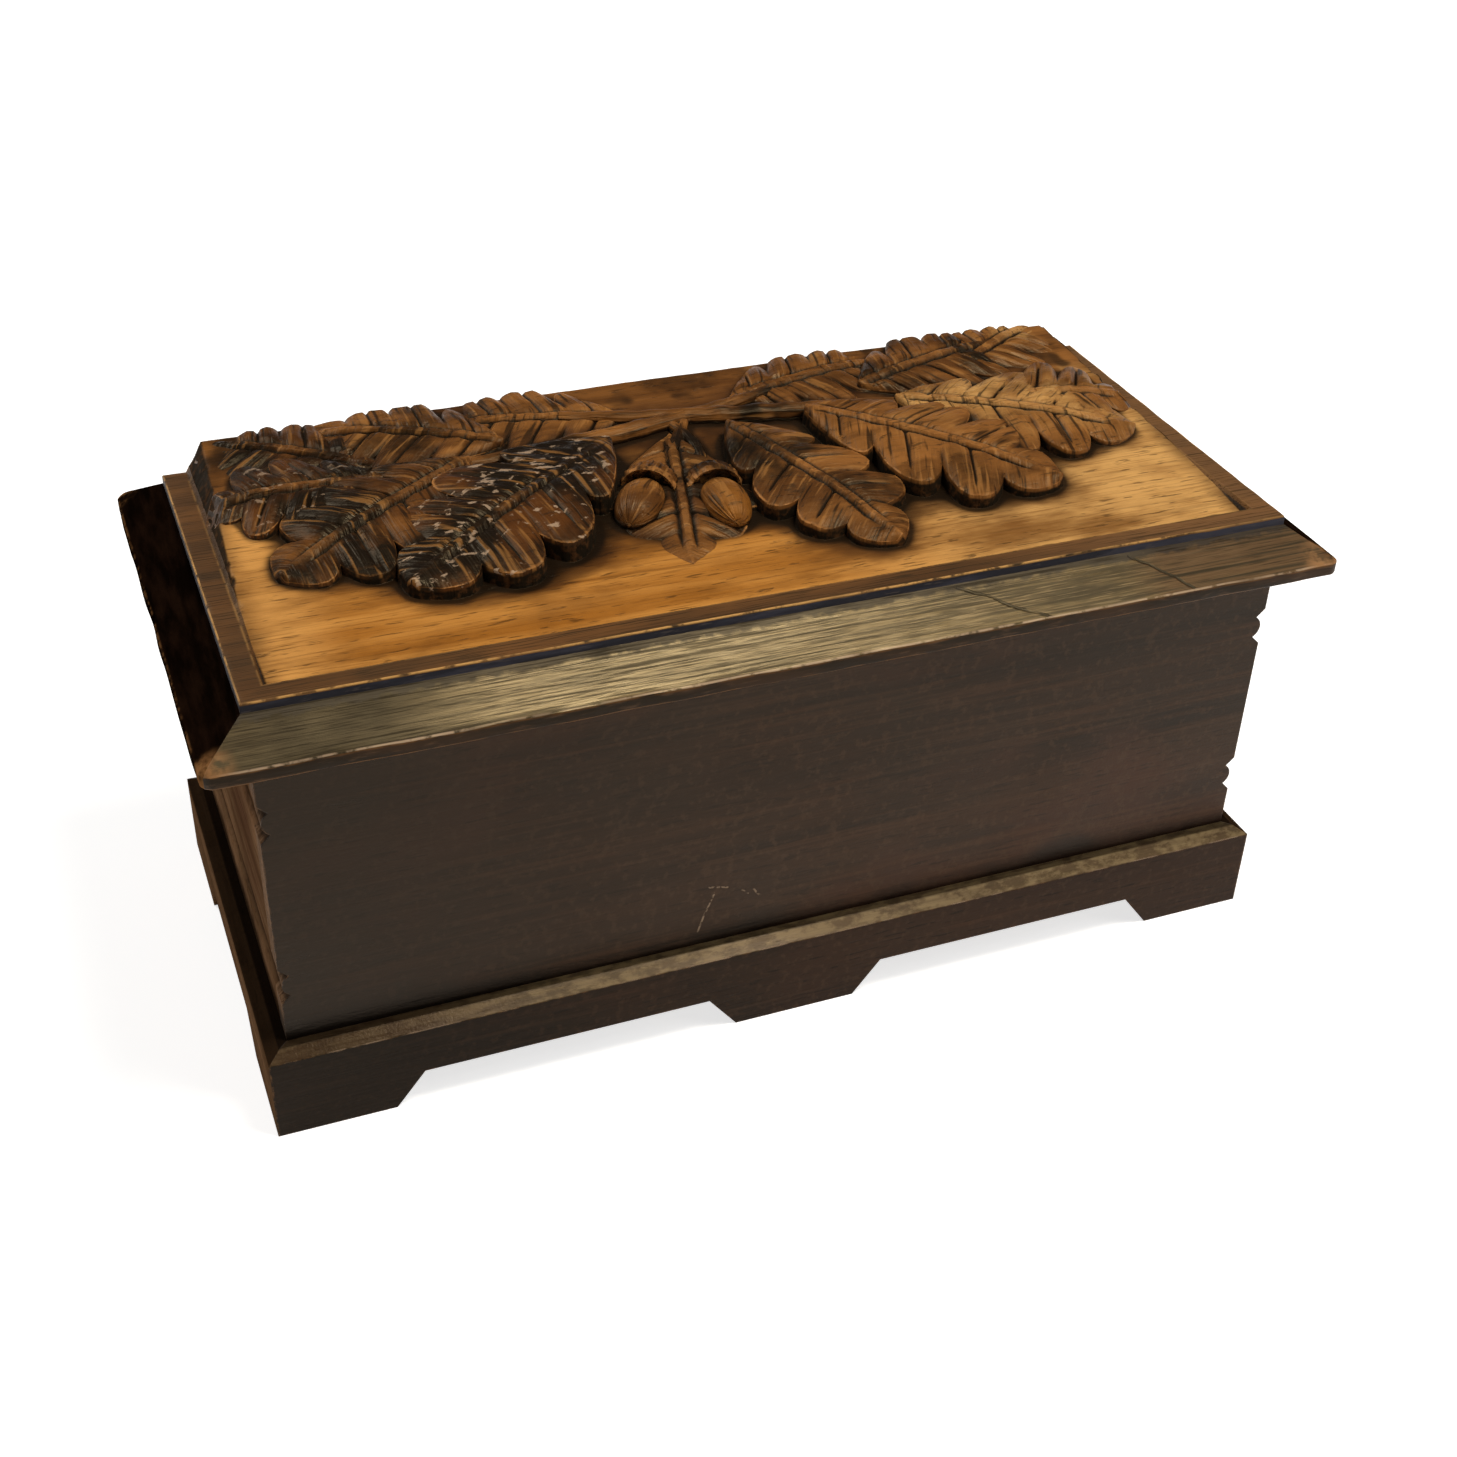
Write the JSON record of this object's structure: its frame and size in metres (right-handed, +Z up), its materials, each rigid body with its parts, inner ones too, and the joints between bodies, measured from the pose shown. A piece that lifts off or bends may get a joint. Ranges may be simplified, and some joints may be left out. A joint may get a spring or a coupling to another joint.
{
  "type": "carved wooden box",
  "caption": "Dark stained wooden keepsake box with an overhanging bevelled lid carved in high relief, hinged at the back, on a bevelled plinth with cut-out feet",
  "frame": {"origin": "middle of the footprint, on the surface that the feet stand on", "axes": "+X along the box's length, +Y towards the front that opens, with the hinges on the -Y side, +Z up"},
  "size_m": [0.3, 0.14, 0.1387],
  "materials": {
    "lid_wood": "stained and waxed, dark in the cuts, rubbed amber on the high parts",
    "dark_wood": "very dark brown stain, satin wax",
    "inner_wood": "planed, thinly stained",
    "hinge_brass": "aged, unlacquered",
    "pin_steel": "drawn wire"
  },
  "bodies": {
    "box": {"back_panel": "dark_wood", "front_panel": "dark_wood", "left_end_panel": "dark_wood", "right_end_panel": "dark_wood", "bottom_board": "inner_wood", "back_plinth_rail": "dark_wood", "front_plinth_rail": "dark_wood", "left_plinth_rail": "dark_wood", "right_plinth_rail": "dark_wood", "back_left_corner_block": "inner_wood", "back_right_corner_block": "inner_wood", "front_left_corner_block": "inner_wood", "front_right_corner_block": "inner_wood", "back_centre_block": "inner_wood", "front_centre_block": "inner_wood", "left_hinge_wall_leaf": "hinge_brass", "right_hinge_wall_leaf": "hinge_brass", "left_hinge_pin": "pin_steel", "right_hinge_pin": "pin_steel", "wall_hinge_screws": "hinge_brass"},
    "lid": {"lid_board": "lid_wood", "left_hinge_lid_leaf": "hinge_brass", "right_hinge_lid_leaf": "hinge_brass", "lid_hinge_screws": "hinge_brass"}
  },
  "joints": [
    {"name": "lid_hinge", "type": "hinge", "parent": "box", "child": "lid", "pos_m": [0, -0.0611, 0.1145], "axis": [1, 0, 0], "range_deg": [0, 104]}
  ]
}
